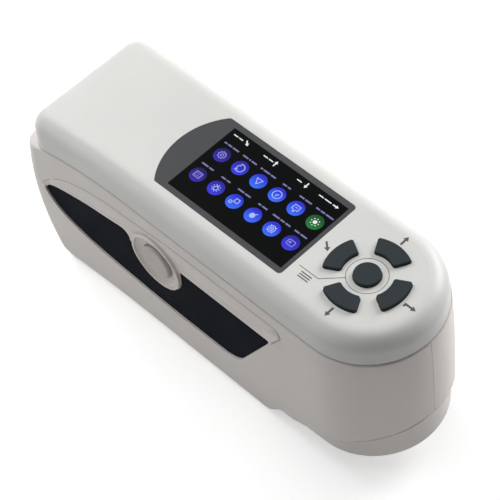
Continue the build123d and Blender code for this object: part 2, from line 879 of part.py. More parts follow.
# Rubber grips let into the sides
for grip_name, grip_side in (("grip_left", 1), ("grip_right", -1)):
    with BuildPart() as grip:
        add(side_prism(grip_outline(grip_side < 0, grip_clearance), grip_side))
        add(grip_outer, mode=Mode.INTERSECT)
        add(grip_inner, mode=Mode.SUBTRACT)
    save(grip.part, grip_name)

# Top cover: a drafted shell with the display opening, key holes, screw posts and board posts
with BuildPart() as cover_posts:
    with Locations(*[(x, y, frame_top_z) for x, y in cover_post_spots]):
        Cylinder(post_radius, top_z - frame_top_z, align=upright)
    key_posts = [on_nose(key_post_distance, angle, key_board_top_z) for angle in key_post_angles]
    with Locations(*key_posts):
        Cylinder(key_post_radius, top_z - key_board_top_z, align=upright)
    add(cover_form(skin_cover, frame_z), mode=Mode.INTERSECT)

with BuildPart() as top_cover:
    add(cover_form(0, parting_z + parting_gap))
    add(cover_form(cover_wall, parting_z - wall), mode=Mode.SUBTRACT)
    add(cover_posts.part)
    with BuildSketch(Plane.XY.offset(lens_floor_z)):
        add(lens_outline(lens_gap))
    extrude(amount=wall, mode=Mode.SUBTRACT)
    with Locations((0, screen_y, top_z)):
        opening = (window_width + opening_margin, window_length + opening_margin)
        Box(*opening, 2 * (top_z - under_z), mode=Mode.SUBTRACT)
    with BuildSketch(Plane.XY.offset(under_z - wall)):
        with Locations((0, nose_y)):
            Circle(menu_key_radius + key_gap)
            for key_angle in key_angles:
                add(key_outline(key_angle, key_gap))
    extrude(amount=2 * wall, dir=(0, 0, 1), mode=Mode.SUBTRACT)
    with Locations(*[(x, y, frame_top_z) for x, y in cover_post_spots]):
        Cylinder(insert_radius, 2 * insert_length, mode=Mode.SUBTRACT)
        Cylinder(pilot_radius, cover_screw_reach + 1, align=upright, mode=Mode.SUBTRACT)
save(top_cover.part, "top_cover")

with BuildPart() as brass_inserts:
    with Locations(*[(x, y, frame_top_z) for x, y in cover_post_spots]):
        Cylinder(insert_radius, insert_length, align=upright)
        Cylinder(pilot_radius, insert_length, align=upright, mode=Mode.SUBTRACT)
save(brass_inserts.part, "brass_inserts")

with BuildPart() as cover_screws:
    with Locations(*[(x, y, frame_z) for x, y in cover_post_spots]):
        Cylinder(screw_head_radius, screw_head_height, align=hanging)
        Cylinder(pilot_radius - screw_gap, frame_thickness + cover_screw_reach, align=upright)
save(cover_screws.part, "cover_screws")

# Display: lens, panel and the frame that carries it on the main board
with BuildPart() as screen_lens:
    with BuildSketch(Plane.XY.offset(lens_floor_z)):
        add(lens_outline(0))
    extrude(amount=lens_thickness, dir=(0, 0, 1))
save(screen_lens.part, "screen_lens")

with BuildPart() as lcd_panel:
    with Locations((0, screen_y, lcd_frame_top_z)):
        Box(lcd_width, lcd_length, lcd_thickness, align=upright)
save(lcd_panel.part, "lcd_panel")

with BuildPart() as lcd_frame:
    with Locations((0, screen_y, lcd_frame_top_z)):
        Box(lcd_width, lcd_length, lcd_frame_thickness, align=hanging)
    leg_x = lcd_width / 2 - lcd_leg_inset
    leg_front = board_front_y + lcd_leg_inset
    leg_rear = screen_y + lcd_length / 2 - lcd_leg_inset
    leg_spots = [(side * leg_x, y) for side in (-1, 1) for y in (leg_front, leg_rear)]
    with Locations(*[(x, y, main_board_top_z) for x, y in leg_spots]):
        Cylinder(lcd_leg_radius, lcd_frame_top_z - main_board_top_z - skin_gap, align=upright)
save(lcd_frame.part, "lcd_frame")


# Keys: a cap through the cover, a flange under it and a stem over its switch
def finish_key(cap, name, stem_spot):
    """Add a key's stem and round its upper edge."""
    with BuildPart() as key:
        add(cap)
        fillet(key.faces().sort_by(Axis.Z)[-1].edges(), key_edge_round)
        with Locations((*stem_spot[:2], stem_foot_z)):
            Cylinder(key_stem_radius, key_stem_length, align=upright)
    save(key.part, name)


for key_name, key_angle in zip(("key_down", "key_back", "key_up", "key_enter"), key_angles):
    with BuildPart() as arc_key:
        with BuildSketch(Plane.XY.offset(flange_top_z)):
            with Locations((0, nose_y)):
                add(key_outline(key_angle, 0))
        extrude(amount=top_z + key_proud - flange_top_z, dir=(0, 0, 1))
        with BuildSketch(Plane.XY.offset(flange_top_z - key_flange_thickness)):
            with Locations((0, nose_y)):
                add(key_outline(key_angle, key_flange))
        extrude(amount=key_flange_thickness, dir=(0, 0, 1))
    finish_key(arc_key.part, key_name, on_nose(key_distance, key_angle, 0))

with BuildPart() as menu_key:
    with Locations((0, nose_y, flange_top_z)):
        Cylinder(menu_key_radius, top_z + menu_key_proud - flange_top_z, align=upright)
        Cylinder(menu_key_radius + key_flange, key_flange_thickness, align=hanging)
finish_key(menu_key.part, "key_menu", on_nose(0, 0, 0))

with BuildPart() as keypad_mat:
    with Locations((0, nose_y, key_board_top_z)):
        Cylinder(mat_radius, mat_top_z - key_board_top_z, align=upright)
        Cylinder(mat_radius - wall / 2, switch_height, align=upright, mode=Mode.SUBTRACT)
save(keypad_mat.part, "keypad_mat")

with BuildPart() as tact_switches:
    with Locations(*[(x, y, key_board_top_z) for x, y, z in switch_spots]):
        Box(switch_size, switch_size, switch_height / 2, align=upright)
        Cylinder(key_stem_radius, switch_height, align=upright)
save(tact_switches.part, "tact_switches")

with BuildPart() as key_board:
    with Locations((0, nose_y, key_board_z)):
        Cylinder(key_board_radius, board_thickness, align=upright)
save(key_board.part, "key_board")

# Measuring button: bezel, cap, switch and board, all on the button's axis
with BuildPart() as button_bezel:
    hole = button_radius + button_gap
    face_out = collar_out - bezel_set_back
    with BuildSketch(button_side):
        with BuildLine():
            tube = [
                (face_out - bezel_dish, hole),
                (tube_end, hole),
                (tube_end, hole + bezel_tube_wall),
                (bezel_foot, hole + bezel_tube_wall),
                (bezel_foot, bezel_radius),
                (face_out, bezel_radius),
            ]
            Polyline(*tube)
            bow = (face_out - bezel_dish / 2 - bezel_dish_bow, (hole + bezel_radius) / 2)
            ThreePointArc((face_out, bezel_radius), bow, (face_out - bezel_dish, hole))
        make_face()
    revolve(axis=button_axis)
save(button_bezel.part, "button_bezel")

with BuildPart() as measure_button:
    with BuildSketch(button_side):
        cap = (
            (button_foot - button_stem_length, 0),
            (-button_face_x, 0),
            (-button_face_x, button_radius),
            (button_foot + button_flange_thickness, button_radius),
            (button_foot + button_flange_thickness, button_radius + button_flange),
            (button_foot, button_radius + button_flange),
            (button_foot, button_stem_radius),
            (button_foot - button_stem_length, button_stem_radius),
        )
        Polygon(*cap, align=None)
    revolve(axis=button_axis)
    fillet(measure_button.faces().sort_by(Axis.X)[0].edges(), button_edge_round)
save(measure_button.part, "measure_button")

with BuildPart() as button_board:
    with Locations((-button_board_out, button_y, button_z)):
        board_length = 2 * (button_post_distance + button_board_margin)
        against = (Align.MIN, Align.CENTER, Align.CENTER)
        Box(board_thickness, board_length, button_board_height, align=against)
save(button_board.part, "button_board")

with BuildPart() as button_switch:
    with Locations((-button_board_out, button_y, button_z)):
        outward = (Align.MAX, Align.CENTER, Align.CENTER)
        Box(switch_height / 2, button_switch_size, button_switch_size, align=outward)
        with Locations(Rotation(0, -90, 0)):
            Cylinder(button_stem_radius, switch_height, align=upright)
save(button_switch.part, "button_switch")

# Inner frame and the boards on it
with BuildPart() as inner_frame:
    with Locations((0, (frame_front_y + frame_rear_y) / 2, frame_z)):
        Box(2 * frame_half_width, frame_rear_y - frame_front_y, frame_thickness, align=upright)
    fillet(inner_frame.edges().filter_by(Axis.Z), frame_corner_round)
    with BuildSketch(Plane.XY.offset(frame_z)):
        with Locations((0, frame_window_y)):
            SlotOverall(frame_window_length, 2 * frame_window_radius, rotation=90)
    extrude(amount=frame_thickness, mode=Mode.SUBTRACT)
    with Locations(*[(x, y, frame_top_z) for x, y in board_post_spots]):
        Cylinder(post_radius, board_height, align=upright)
    with Locations(*[(x, y, frame_z) for x, y in cover_post_spots]):
        Cylinder(pilot_radius + screw_gap, far / 4, mode=Mode.SUBTRACT)
save(inner_frame.part, "inner_frame")

with BuildPart() as main_board:
    with Locations((0, (board_front_y + board_rear_y) / 2, main_board_z)):
        Box(2 * board_half_width, board_rear_y - board_front_y, board_thickness, align=upright)
    fillet(main_board.edges().filter_by(Axis.Z), lens_corner_round)
save(main_board.part, "main_board")

with BuildPart() as board_chips:
    for chip_spot, chip_size in zip(chip_spots, chip_sizes):
        with Locations((*chip_spot, main_board_top_z)):
            Box(*chip_size, align=upright)
    with Locations((0, header_y, main_board_top_z)):
        Box(header_width, header_length, header_height, align=upright)
save(board_chips.part, "board_chips")

with BuildPart() as buzzer:
    with Locations((buzzer_x, buzzer_y, main_board_top_z)):
        Cylinder(buzzer_radius, buzzer_height, align=upright)
    with Locations((buzzer_x, buzzer_y, main_board_top_z + buzzer_height)):
        Cylinder(pilot_radius, buzzer_height, mode=Mode.SUBTRACT)
save(buzzer.part, "buzzer")

with BuildPart() as ribbon_cable:
    with BuildSketch(Plane.YZ):
        with BuildLine():
            band = (
                (ribbon_front_y, key_board_z - ribbon_thickness / 2),
                (ribbon_drop_y - 1, key_board_z - ribbon_thickness / 2),
                (ribbon_drop_y + 1, main_board_top_z + ribbon_thickness / 2),
                (ribbon_rear_y, main_board_top_z + ribbon_thickness / 2),
            )
            run = Polyline(*band)
            offset(run, amount=ribbon_thickness / 2)
        make_face()
    extrude(amount=ribbon_width / 2, both=True)
save(ribbon_cable.part, "ribbon_cable")

# Battery bay: tray, pack, connector, door and its pad
with BuildPart() as battery_tray:
    with Locations((0, battery_y, belly_floor_z)):
        outer_width = 2 * (opening_half_width + tray_wall)
        outer_length = 2 * (opening_half_length + tray_wall)
        Box(outer_width, outer_length, tray_top_z - belly_floor_z, align=upright)
        inner_height = tray_top_z - tray_wall - belly_floor_z
        inner = (2 * opening_half_width, 2 * opening_half_length, inner_height)
        Box(*inner, align=upright, mode=Mode.SUBTRACT)
save(battery_tray.part, "battery_tray")

with BuildPart() as battery_pack:
    with Locations((0, battery_y, battery_z)):
        Box(battery_width, battery_length, battery_height, align=upright)
    fillet(battery_pack.edges().filter_by(Axis.Y), battery_round)
save(battery_pack.part, "battery_pack")

with BuildPart() as battery_connector:
    with Locations((0, battery_y - opening_half_length - tray_wall, belly_floor_z)):
        behind = (Align.CENTER, Align.MAX, Align.MIN)
        Box(connector_width, connector_length, connector_height, align=behind)
save(battery_connector.part, "battery_connector")

with BuildPart() as battery_door:
    with Locations((0, battery_y, belly_z)):
        door_width = 2 * (opening_half_width + door_margin)
        door_length = 2 * (opening_half_length + door_margin)
        Box(door_width, door_length, door_thickness, align=upright)
    fillet(battery_door.edges().filter_by(Axis.Z), door_round)
save(battery_door.part, "battery_door")

with BuildPart() as door_pad:
    with Locations((0, battery_y, door_top_z)):
        Box(2 * pad_half_width, 2 * pad_half_width, pad_thickness, align=upright)
save(door_pad.part, "door_pad")

# Rear socket on its small board
with BuildPart() as usb_port:
    with Locations((socket_x, rear_y - socket_set_back, socket_z)):
        outlet = (Align.CENTER, Align.MAX, Align.CENTER)
        Box(socket_width, socket_length, socket_height, align=outlet)
        hollow = (socket_width - 2 * socket_wall, socket_length - socket_wall)
        Box(*hollow, socket_height - 2 * socket_wall, align=outlet, mode=Mode.SUBTRACT)
    with Locations((socket_x, rear_y - socket_set_back - socket_length, socket_z)):
        tongue = (socket_width / 2, socket_length * 0.8, socket_tongue)
        Box(*tongue, align=(Align.CENTER, Align.MIN, Align.CENTER))
save(usb_port.part, "usb_port")

with BuildPart() as io_board:
    with Locations((socket_x, rear_y - wall - skin_cover, io_board_z)):
        inward = (Align.CENTER, Align.MAX, Align.MIN)
        Box(io_board_width, io_board_length - 1, board_thickness, align=inward)
save(io_board.part, "io_board")

# Fasteners and feet
with BuildPart() as case_screws:
    heads = case_screw_head_x + screw_head_height
    add(bar_across(screw_head_radius, case_screw_head_x, heads, case_screw_spots))
    shank_end = case_screw_head_x - case_screw_length
    add(bar_across(pilot_radius - screw_gap, case_screw_head_x, shank_end, case_screw_spots))
save(case_screws.part, "case_screws")

with BuildPart() as rubber_feet:
    with Locations(*foot_pad_spots):
        Cylinder(foot_pad_radius, belly_z + foot_recess, align=upright)
    fillet(rubber_feet.edges().group_by(Axis.Z)[0], foot_round)
save(rubber_feet.part, "rubber_feet")
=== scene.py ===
import json
import math

import bmesh
import bpy
from mathutils import Matrix, Vector
from mathutils.bvhtree import BVHTree


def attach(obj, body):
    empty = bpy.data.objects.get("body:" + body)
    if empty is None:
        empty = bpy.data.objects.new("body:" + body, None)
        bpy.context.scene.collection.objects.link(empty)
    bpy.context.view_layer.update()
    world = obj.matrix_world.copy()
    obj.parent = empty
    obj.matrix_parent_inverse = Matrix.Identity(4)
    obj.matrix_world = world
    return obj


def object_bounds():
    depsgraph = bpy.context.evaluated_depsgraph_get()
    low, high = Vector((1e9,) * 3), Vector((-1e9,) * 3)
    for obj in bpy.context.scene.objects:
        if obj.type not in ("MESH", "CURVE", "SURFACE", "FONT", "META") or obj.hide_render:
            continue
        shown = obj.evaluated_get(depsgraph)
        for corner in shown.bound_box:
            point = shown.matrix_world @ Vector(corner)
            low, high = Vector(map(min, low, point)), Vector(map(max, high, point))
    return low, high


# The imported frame, and the size of the CAD model before anything is added
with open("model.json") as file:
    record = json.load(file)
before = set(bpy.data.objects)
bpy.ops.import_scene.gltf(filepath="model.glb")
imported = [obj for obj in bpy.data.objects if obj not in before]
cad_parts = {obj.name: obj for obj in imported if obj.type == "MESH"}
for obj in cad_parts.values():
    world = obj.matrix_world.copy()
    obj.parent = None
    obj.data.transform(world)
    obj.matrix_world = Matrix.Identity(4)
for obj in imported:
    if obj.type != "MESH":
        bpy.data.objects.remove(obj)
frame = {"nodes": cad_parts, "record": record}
cad_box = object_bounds()
nodes = frame["nodes"]

MM = 0.001
TAU = 2 * math.pi
scene = bpy.context.scene


# Small helpers for node based materials
def srgb(red, green, blue):
    """An 8 bit display colour as a linear colour with full alpha, by the sRGB curve."""
    values = []
    for level in (red, green, blue):
        share = level / 255
        values.append(share / 12.92 if share <= 0.04045 else ((share + 0.055) / 1.055) ** 2.4)
    return (*values, 1.0)


def scaled(colour, factor):
    """A colour made darker or lighter by a factor."""
    return (*[min(1.0, level * factor) for level in colour[:3]], 1.0)


# Sockets of a Mix node that mixes two colours
MIX_FACTOR, MIX_ONE, MIX_TWO, MIX_RESULT = 0, 6, 7, 2


class Finish:
    """A material with a Principled shader and short calls that add nodes to it."""

    def __init__(self, name):
        self.material = bpy.data.materials.new(name)
        self.material.use_nodes = True
        self.tree = self.material.node_tree
        self.shader = self.tree.nodes["Principled BSDF"]
        self.place = self.add("ShaderNodeTexCoord").outputs["Object"]

    def add(self, kind, **settings):
        node = self.tree.nodes.new(kind)
        for key, value in settings.items():
            setattr(node, key, value)
        return node

    def feed(self, socket, value):
        if isinstance(value, bpy.types.NodeSocket):
            self.tree.links.new(value, socket)
        else:
            socket.default_value = value

    def set(self, **values):
        for key, value in values.items():
            self.feed(self.shader.inputs[key.replace("_", " ")], value)

    def noise(self, size_mm, detail=2.0, rough=0.5, stretch=None):
        """Noise with features of about size_mm, placed in the object's own space."""
        node = self.add("ShaderNodeTexNoise")
        where = self.place
        if stretch:
            mapping = self.add("ShaderNodeMapping")
            mapping.inputs["Scale"].default_value = stretch
            self.feed(mapping.inputs["Vector"], self.place)
            where = mapping.outputs["Vector"]
        self.feed(node.inputs["Vector"], where)
        node.inputs["Scale"].default_value = 1 / (size_mm * MM)
        node.inputs["Detail"].default_value = detail
        node.inputs["Roughness"].default_value = rough
        return node.outputs["Fac"]

    def cells(self, size_mm, feature="F1"):
        """Rounded cells of about size_mm."""
        node = self.add("ShaderNodeTexVoronoi", feature=feature)
        self.feed(node.inputs["Vector"], self.place)
        node.inputs["Scale"].default_value = 1 / (size_mm * MM)
        return node.outputs["Distance"]

    def span(self, value, low, high, start=0.3, end=0.7):
        """A factor carried from start..end to low..high."""
        node = self.add("ShaderNodeMapRange")
        self.feed(node.inputs["Value"], value)
        node.inputs["From Min"].default_value = start
        node.inputs["From Max"].default_value = end
        node.inputs["To Min"].default_value = low
        node.inputs["To Max"].default_value = high
        return node.outputs["Result"]

    def tint(self, factor, dark, light):
        """A colour between two, chosen by a factor."""
        node = self.add("ShaderNodeMix", data_type="RGBA")
        self.feed(node.inputs["Factor"], factor)
        self.feed(node.inputs[MIX_ONE], dark)
        self.feed(node.inputs[MIX_TWO], light)
        return node.outputs[MIX_RESULT]

    def math(self, operation, one, two):
        node = self.add("ShaderNodeMath", operation=operation)
        self.feed(node.inputs[0], one)
        self.feed(node.inputs[1], two)
        return node.outputs[0]

    def blend(self, one, two, one_share, two_share):
        """The sum of two factors, each with its own share."""
        parts = (self.math("MULTIPLY", one, one_share), self.math("MULTIPLY", two, two_share))
        return self.math("ADD", *parts)

    def bump(self, height, depth_mm):
        """A bump of a given depth on the shader's normal."""
        node = self.add("ShaderNodeBump")
        node.inputs["Strength"].default_value = 1.0
        node.inputs["Distance"].default_value = depth_mm * MM
        self.feed(node.inputs["Height"], height)
        self.feed(self.shader.inputs["Normal"], node.outputs["Normal"])


# Finishes: sizes and depths of their features in millimetres, shares, spreads and darker tones
DRIFT_SIZE = 42.0
DRIFT = 0.03
PATCH_SIZE = 9.0
GLOSS_SPREAD = 0.08
COAT_ROUGH = 0.08
PEBBLE_DEPTH = 0.05
SPECK_SIZE = 0.8
SPECK_SHARE = 0.55
WORN_SIZE = 16.0
WORN_SHARE = 0.45
BRUSH_SIZE = 1.6
BRUSH_STRETCH = (1.0, 18.0, 18.0)
BRUSH_DEPTH = 0.006
BRUSH_DARK = 0.9
WEAVE_SIZE = 0.9
WEAVE_STRETCH = (1.0, 1.0, 0.2)
TRACE_PITCH = 2.4
TRACE_DEPTH = 0.03
HAZE_SIZE = 6.0
HAZE_DARK = 0.97
HAZE_SPREAD = 0.04
INK_SIZE = 0.3
INK_DARK = 0.93
ACRYLIC_IOR = 1.49
PIXEL_SIZE = 0.35
PIXEL_DARK = 0.94
DISPLAY_GLOW = 0.85
UNLIT_SHARE = 0.88
UNLIT = (0.005, 0.005, 0.006, 1.0)


def moulded(name, colour, rough, grain_mm=0.5, depth_mm=0.012, level=0.4, coat=0.0):
    """Injection moulded plastic: slow drift of tone, fine spark grain and uneven gloss."""
    finish = Finish(name)
    shade = finish.span(finish.noise(DRIFT_SIZE, detail=3.0), 0.0, 1.0)
    ends = (scaled(colour, 1 - DRIFT), scaled(colour, 1 + DRIFT))
    finish.set(Base_Color=finish.tint(shade, *ends))
    grain = finish.noise(grain_mm, detail=2.0, rough=0.6)
    patch = finish.noise(PATCH_SIZE, detail=2.0)
    uneven = finish.blend(grain, patch, GLOSS_SPREAD, GLOSS_SPREAD)
    finish.set(Roughness=finish.math("ADD", uneven, rough - GLOSS_SPREAD))
    finish.bump(grain, depth_mm)
    finish.set(Specular_IOR_Level=level)
    if coat:
        finish.set(Coat_Weight=coat, Coat_Roughness=COAT_ROUGH)
    return finish.material


def rubbery(name, dark, light, grain_mm=0.45):
    """Fine pebbled rubber with a soft sheen and small paler specks."""
    finish = Finish(name)
    pebble = finish.cells(grain_mm)
    speck = finish.noise(grain_mm * SPECK_SIZE, detail=3.0, rough=0.7)
    worn = finish.noise(WORN_SIZE, detail=3.0)
    mix = finish.blend(speck, worn, SPECK_SHARE, WORN_SHARE)
    shade = finish.span(mix, 0.0, 1.0, start=0.38, end=0.62)
    finish.set(Base_Color=finish.tint(shade, dark, light))
    finish.set(Roughness=finish.span(worn, low=0.62, high=0.78))
    finish.bump(finish.math("SUBTRACT", speck, pebble), PEBBLE_DEPTH)
    finish.set(Specular_IOR_Level=0.02)
    return finish.material


def metal(name, colour, rough):
    """Bare metal with fine drawn lines."""
    finish = Finish(name)
    lines = finish.noise(BRUSH_SIZE, detail=4.0, rough=0.6, stretch=BRUSH_STRETCH)
    shade = finish.span(lines, 0.0, 1.0)
    finish.set(Base_Color=finish.tint(shade, scaled(colour, BRUSH_DARK), colour))
    finish.set(Roughness=finish.span(lines, low=rough - 0.06, high=rough + 0.08), Metallic=1.0)
    finish.bump(lines, BRUSH_DEPTH)
    return finish.material


def board(name):
    """Green lacquered circuit board with faint copper traces under the lacquer."""
    finish = Finish(name)
    weave = finish.noise(WEAVE_SIZE, detail=2.0, stretch=WEAVE_STRETCH)
    traces = finish.cells(TRACE_PITCH, feature="DISTANCE_TO_EDGE")
    track = finish.span(traces, 1.0, 0.0, start=0.04, end=0.09)
    ground = finish.tint(weave, srgb(10, 78, 44), srgb(18, 96, 54))
    finish.set(Base_Color=finish.tint(track, ground, srgb(38, 128, 74)), Roughness=0.32)
    finish.bump(track, TRACE_DEPTH)
    finish.set(Coat_Weight=0.4, Coat_Roughness=0.15)
    return finish.material


def clear(name, colour, rough=0.03):
    """Clear glass or acrylic with the faintest haze."""
    finish = Finish(name)
    haze = finish.noise(HAZE_SIZE, detail=3.0)
    finish.set(Base_Color=finish.tint(haze, scaled(colour, HAZE_DARK), colour))
    finish.set(Roughness=finish.span(haze, low=rough, high=rough + HAZE_SPREAD))
    finish.set(Transmission_Weight=1.0, IOR=ACRYLIC_IOR)
    return finish.material


def ink_and_painted_light(name, colour, rough=0.45):
    """Printed ink with a fine dot grain, also used by fine_line for lines of painted shade and
    painted highlight.
    """
    finish = Finish(name)
    grain = finish.noise(INK_SIZE, detail=1.0)
    finish.set(Base_Color=finish.tint(grain, scaled(colour, INK_DARK), colour), Roughness=rough)
    finish.set(Specular_IOR_Level=0.3)
    return finish.material


def lit(name, high, low=None, low_x=0.0, high_x=1.0):
    """A lit part of the display, of one colour or fading to a second one along X."""
    finish = Finish(name)
    grain = finish.noise(PIXEL_SIZE, detail=1.0)
    shade = finish.tint(grain, scaled(high, PIXEL_DARK), high)
    if low:
        split = finish.add("ShaderNodeSeparateXYZ")
        finish.feed(split.inputs["Vector"], finish.place)
        fade = finish.span(split.outputs["X"], 0.0, 1.0, start=high_x * MM, end=low_x * MM)
        shade = finish.tint(fade, shade, low)
    dim = finish.add("ShaderNodeMix", data_type="RGBA")
    dim.inputs[MIX_FACTOR].default_value = UNLIT_SHARE
    finish.feed(dim.inputs[MIX_ONE], shade)
    dim.inputs[MIX_TWO].default_value = UNLIT
    finish.set(Base_Color=dim.outputs[MIX_RESULT], Roughness=0.3, Specular_IOR_Level=0.1)
    finish.set(Emission_Color=shade)
    finish.shader.inputs["Emission Strength"].default_value = DISPLAY_GLOW
    return finish.material


body_white = srgb(216, 216, 213)
body_warm = srgb(224, 218, 213)
finishes = {
    "cover_plastic": moulded("cover_finish", body_white, 0.42),
    "housing_plastic": moulded("housing_finish", body_warm, 0.46),
    "grip_rubber": rubbery("grip_finish", srgb(11, 12, 18), srgb(22, 26, 35)),
    "ring_rubber": rubbery("ring_finish", srgb(20, 20, 21), srgb(38, 38, 40), grain_mm=0.6),
    "mat_rubber": rubbery("mat_finish", srgb(96, 98, 100), srgb(124, 126, 128), grain_mm=0.6),
    "lens_gloss": moulded("lens_finish", srgb(78, 79, 81), 0.3, depth_mm=0.001, level=0.08),
    "display_glass": moulded("panel_finish", srgb(9, 10, 11), 0.3, depth_mm=0.001, level=0.03),
    "clear_glass": clear("window_finish", (0.94, 0.97, 0.96, 1.0)),
    "key_plastic": moulded("key_finish", srgb(43, 50, 53), 0.5, grain_mm=0.35, level=0.12),
    # The button's colour is darkened below the housing's as painted shade, for a cap that faces
    # away from the lamps and sits slightly sunk
    "button_plastic": moulded("button_shaded_finish", srgb(186, 179, 173), 0.4),
    "inner_plastic": moulded("inner_finish", srgb(60, 61, 63), 0.55),
    "board_green": board("board_finish"),
    "chip_black": moulded("chip_finish", srgb(28, 28, 29), 0.5, grain_mm=0.25),
    "switch_metal": metal("switch_finish", srgb(196, 197, 198), 0.3),
    "battery_wrap": moulded("battery_finish", srgb(36, 74, 120), 0.28, depth_mm=0.004, coat=0.3),
    "sphere_white": moulded("sphere_finish", srgb(236, 236, 234), 0.8, grain_mm=0.3),
    "screw_steel": metal("screw_finish", srgb(168, 169, 172), 0.32),
    "led_clear": clear("lamp_finish", srgb(242, 240, 226), rough=0.08),
    "tube_aluminium": metal("tube_finish", srgb(52, 53, 55), 0.4),
    "insert_brass": metal("insert_finish", srgb(206, 170, 96), 0.3),
    "ribbon_film": moulded("ribbon_finish", srgb(176, 110, 40), 0.3, depth_mm=0.004, coat=0.4),
}


def add_piece(name, data, material):
    """Adds an object of one material to the scene."""
    piece = bpy.data.objects.new(name, data)
    scene.collection.objects.link(piece)
    data.materials.append(material)
    return piece


# Every CAD node gets the finish of its slot
for part in frame["record"]["subparts"]:
    piece = nodes[part["node"]]
    piece.data.materials.clear()
    piece.data.materials.append(finishes[part["material_slot"]])


# Flat ink and display shapes, as thin closed plates lying on a surface
SHARPEST = 0.35  # a stroke's mitre is cut off where the cosine of half its bend is below this


class Plates:
    """Collects thin plates and turns them into one object."""

    def __init__(self, low_mm, high_mm):
        self.low = low_mm
        self.high = high_mm
        self.mesh = bmesh.new()

    def level(self, points, height):
        return [self.mesh.verts.new((x * MM, y * MM, height * MM)) for x, y in points]

    def solid(self, points):
        """A filled shape from its outline, counter-clockwise from above."""
        if area(points) < 0:
            points = points[::-1]
        low = self.level(points, self.low)
        high = self.level(points, self.high)
        self.mesh.faces.new(high)
        self.mesh.faces.new(low[::-1])
        for i in range(len(points)):
            j = (i + 1) % len(points)
            self.mesh.faces.new((low[i], low[j], high[j], high[i]))

    def band(self, points, width, closed=False):
        """A stroke of a given width along points."""
        left, right = [], []
        count = len(points)
        for i, point in enumerate(points):
            before = points[i - 1] if closed or i > 0 else point
            after = points[(i + 1) % count] if closed or i < count - 1 else point
            into = unit(before, point) if before != point else unit(point, after)
            out = unit(point, after) if after != point else into
            normal = (-(into[1] + out[1]), into[0] + out[0])
            size = math.hypot(*normal) or 1.0
            normal = (normal[0] / size, normal[1] / size)
            cosine = max(SHARPEST, normal[0] * -into[1] + normal[1] * into[0])
            reach = width / 2 / cosine
            left.append((point[0] + normal[0] * reach, point[1] + normal[1] * reach))
            right.append((point[0] - normal[0] * reach, point[1] - normal[1] * reach))
        left_low, left_high = self.level(left, self.low), self.level(left, self.high)
        right_low, right_high = self.level(right, self.low), self.level(right, self.high)
        steps = count if closed else count - 1
        for i in range(steps):
            j = (i + 1) % count
            self.mesh.faces.new((left_high[i], right_high[i], right_high[j], left_high[j]))
            self.mesh.faces.new((left_low[i], left_low[j], right_low[j], right_low[i]))
            self.mesh.faces.new((left_low[i], left_high[i], left_high[j], left_low[j]))
            self.mesh.faces.new((right_low[i], right_low[j], right_high[j], right_high[i]))
        if not closed:
            self.mesh.faces.new((left_low[0], right_low[0], right_high[0], left_high[0]))
            self.mesh.faces.new((left_low[-1], left_high[-1], right_high[-1], right_low[-1]))

    def finish(self, name, material, slot):
        """Makes the plates one object of the case."""
        data = bpy.data.meshes.new(name)
        bmesh.ops.recalc_face_normals(self.mesh, faces=self.mesh.faces)
        self.mesh.to_mesh(data)
        self.mesh.free()
        piece = add_piece(name, data, material)
        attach(piece, "case")


def area(points):
    total = 0.0
    for i, (x, y) in enumerate(points):
        next_x, next_y = points[(i + 1) % len(points)]
        total += x * next_y - next_x * y
    return total / 2


def unit(start, end):
    dx, dy = end[0] - start[0], end[1] - start[1]
    size = math.hypot(dx, dy) or 1.0
    return (dx / size, dy / size)


def circle(centre, radius, count=40, start=0.0, sweep=TAU):
    """Points round a circle, or along part of it when sweep is less than a turn."""
    whole = abs(sweep) >= TAU - 1e-6
    steps = count if whole else count - 1
    return [
        (
            centre[0] + radius * math.cos(start + sweep * i / steps),
            centre[1] + radius * math.sin(start + sweep * i / steps),
        )
        for i in range(count)
    ]


def rounded(centre, size, radius, count=6):
    """Points round a rectangle with round corners."""
    points = []
    for turn, (sx, sy) in enumerate(((1, 1), (-1, 1), (-1, -1), (1, -1))):
        corner = (centre[0] + sx * (size[0] / 2 - radius), centre[1] + sy * (size[1] / 2 - radius))
        points += circle(corner, radius, count, start=turn * TAU / 4, sweep=TAU / 4)
    return points


def reader(centre, scale=1.0):
    """Turns points drawn as the user reads them into places on the top: right is +Y, up is -X."""

    def put(points):
        return [(centre[0] - scale * v, centre[1] + scale * u) for u, v in points]

    return put


# Print on the cover, round the keys
NOSE_Y = -70.5
TOP_Z = 95.6
PRINT_HALF = 0.02
RING_RADIUS = 8.25
RING_WIDTH = 0.28
LEADER = ((-6.0, 5.66), (-13.2, 13.0), (-13.2, 23.0))
LEADER_WIDTH = 0.34
ARROW_WIDTH = 0.95
ARROW_HEAD = 1.25
ARROW_SLIM = 1.55
WORD_BAR = (0.5, 5.4)
WORD_PLACE = (-14.8, 17.6)
WORD_PITCH = 1.15
WORD_ROUND = 0.1
print_ink = ink_and_painted_light("print_finish", srgb(84, 80, 76))
line_ink = ink_and_painted_light("line_finish", srgb(112, 110, 106))


def by_nose(points):
    """Points given from the nose's centre, as places on the cover."""
    return [(x, NOSE_Y + y) for x, y in points]


def arrow(plates, tail, tip, width=ARROW_WIDTH, head=ARROW_HEAD):
    """An arrow from tail to tip; the tail may have a bend."""
    dx, dy = unit(tail[-1], tip)
    neck = (tip[0] - dx * head * ARROW_SLIM, tip[1] - dy * head * ARROW_SLIM)
    plates.band([*tail, neck], width)
    barbs = [(neck[0] - side * dy * head, neck[1] + side * dx * head) for side in (1, -1)]
    plates.solid([tip, *barbs])


lines = Plates(TOP_Z - PRINT_HALF, TOP_Z + PRINT_HALF)
lines.band(circle((0, NOSE_Y), RING_RADIUS, 96), RING_WIDTH, closed=True)
lines.band(by_nose(LEADER), LEADER_WIDTH)
lines.finish("keypad_lines", line_ink, "key_plastic")

